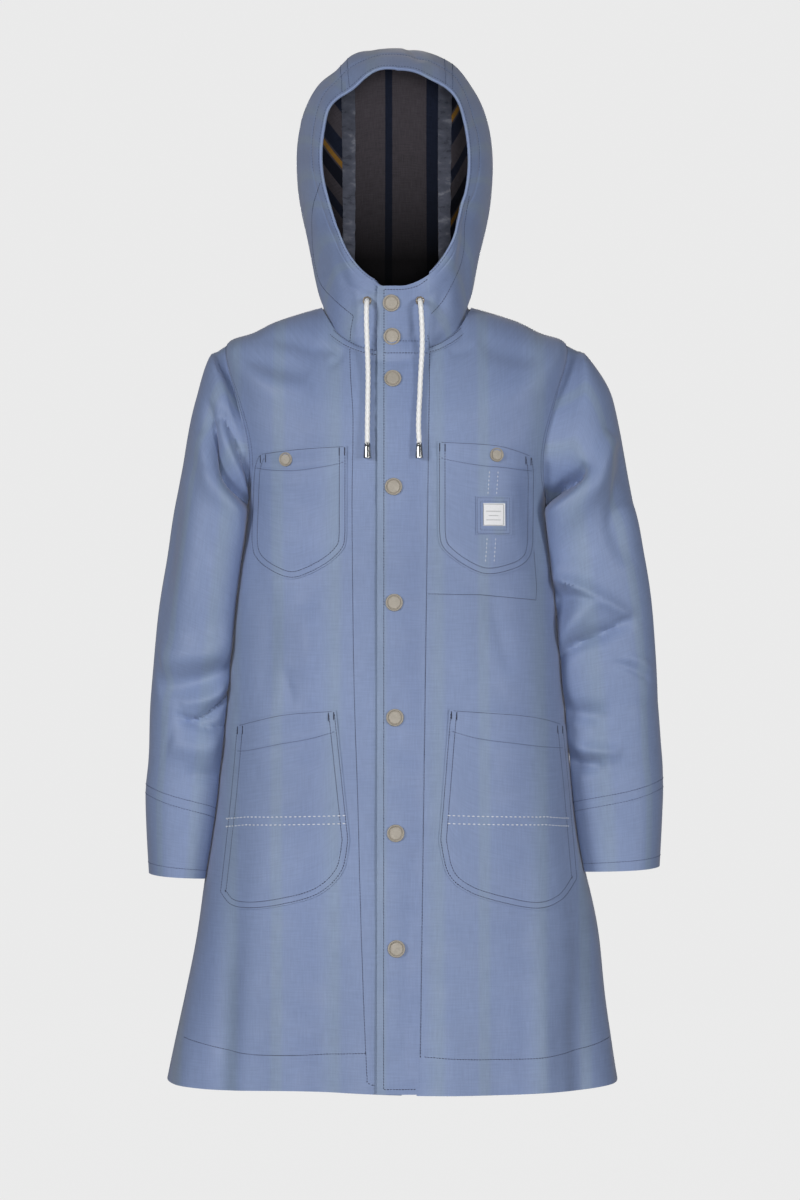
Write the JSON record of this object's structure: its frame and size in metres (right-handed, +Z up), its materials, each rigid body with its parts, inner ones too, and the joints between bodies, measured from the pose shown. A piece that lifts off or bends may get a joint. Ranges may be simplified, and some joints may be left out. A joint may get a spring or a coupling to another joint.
{
  "type": "foul weather jacket",
  "caption": "Hooded knee-length raincoat of rubberised cloth with a snap front, patch pockets and a drawcord hood, hung by its neck loop.",
  "frame": {"origin": "middle of the underside of the hanger loop inside the back neck", "axes": "+Z up the coat, -Y out of its front, +X to the wearer's left"},
  "size_m": [0.61, 0.3508, 1.2103],
  "materials": {
    "coated_cloth": "matt rubberised face",
    "inner_cloth": "woven backing, dark with fine stripes",
    "seam_tape": "satin sealing tape",
    "snap_metal": "matt nickel plate with a warm tone",
    "bell_metal": "polished",
    "cord_white": "braided",
    "label_cloth": "woven, plain"
  },
  "bodies": {
    "coat": {"front_panel_left": "coated_cloth", "front_panel_right": "coated_cloth", "back_panel": "coated_cloth", "hem_facing": "coated_cloth", "side_seam_tape_left": "seam_tape", "side_seam_tape_right": "seam_tape", "neck_band_left": "coated_cloth", "neck_band_right": "coated_cloth", "hood_base": "coated_cloth", "underlap_facing": "coated_cloth", "chest_pocket_left": "coated_cloth", "chest_pocket_right": "coated_cloth", "hip_pocket_left": "coated_cloth", "hip_pocket_right": "coated_cloth", "pocket_snap_cap_left": "snap_metal", "pocket_snap_cap_right": "snap_metal", "label_patch": "coated_cloth", "label": "label_cloth", "inner_pocket_bag": "inner_cloth", "hanger_loop": "seam_tape", "eyelet_right": "snap_metal", "front_snap_stud_1": "snap_metal", "front_snap_stud_2": "snap_metal", "front_snap_stud_3": "snap_metal", "front_snap_stud_4": "snap_metal", "front_snap_stud_5": "snap_metal", "front_snap_stud_6": "snap_metal", "front_snap_stud_7": "snap_metal", "front_snap_stud_8": "snap_metal"},
    "hood": {"hood_centre_panel": "coated_cloth", "hood_side_panel_left": "coated_cloth", "hood_side_panel_right": "coated_cloth", "hood_seam_tape_left": "seam_tape", "hood_seam_tape_right": "seam_tape", "hood_brim_facing": "coated_cloth", "hood_drawcord": "cord_white"},
    "closing_strip": {"placket_strip": "coated_cloth", "placket_facing": "inner_cloth", "eyelet_left": "snap_metal", "front_snap_cap_1": "snap_metal", "front_snap_cap_2": "snap_metal", "front_snap_cap_3": "snap_metal", "front_snap_cap_4": "snap_metal", "front_snap_cap_5": "snap_metal", "front_snap_cap_6": "snap_metal", "front_snap_cap_7": "snap_metal", "front_snap_cap_8": "snap_metal"},
    "arm_left": {"sleeve_left": "coated_cloth", "cuff_left": "coated_cloth"},
    "arm_right": {"sleeve_right": "coated_cloth", "cuff_right": "coated_cloth"},
    "cord_end_left": {"cord_tail_left": "cord_white", "cord_bell_left": "bell_metal"},
    "cord_end_right": {"cord_tail_right": "cord_white", "cord_bell_right": "bell_metal"}
  },
  "joints": [
    {"name": "hood_tip", "type": "hinge", "parent": "coat", "child": "hood", "pos_m": [0, -0.1, 0.02], "axis": [-1, 0, 0], "range_deg": [0, 30]},
    {"name": "front_opening", "type": "hinge", "parent": "coat", "child": "closing_strip", "pos_m": [0.038, -0.1915, 0.018], "axis": [0.014, 0.1063, 0.9942], "range_deg": [0, 100]},
    {"name": "arm_lift_left", "type": "hinge", "parent": "coat", "child": "arm_left", "pos_m": [0.2, -0.095, -0.044], "axis": [0, -1, 0], "range_deg": [0, 35]},
    {"name": "arm_lift_right", "type": "hinge", "parent": "coat", "child": "arm_right", "pos_m": [-0.2, -0.095, -0.044], "axis": [0, 1, 0], "range_deg": [0, 35]},
    {"name": "cord_swing_left", "type": "hinge", "parent": "closing_strip", "child": "cord_end_left", "pos_m": [0.027, -0.186, 0.001], "axis": [-1, 0, 0], "range_deg": [0, 60]},
    {"name": "cord_swing_right", "type": "hinge", "parent": "coat", "child": "cord_end_right", "pos_m": [-0.034, -0.1846, 0.001], "axis": [-1, 0, 0], "range_deg": [0, 60]}
  ]
}
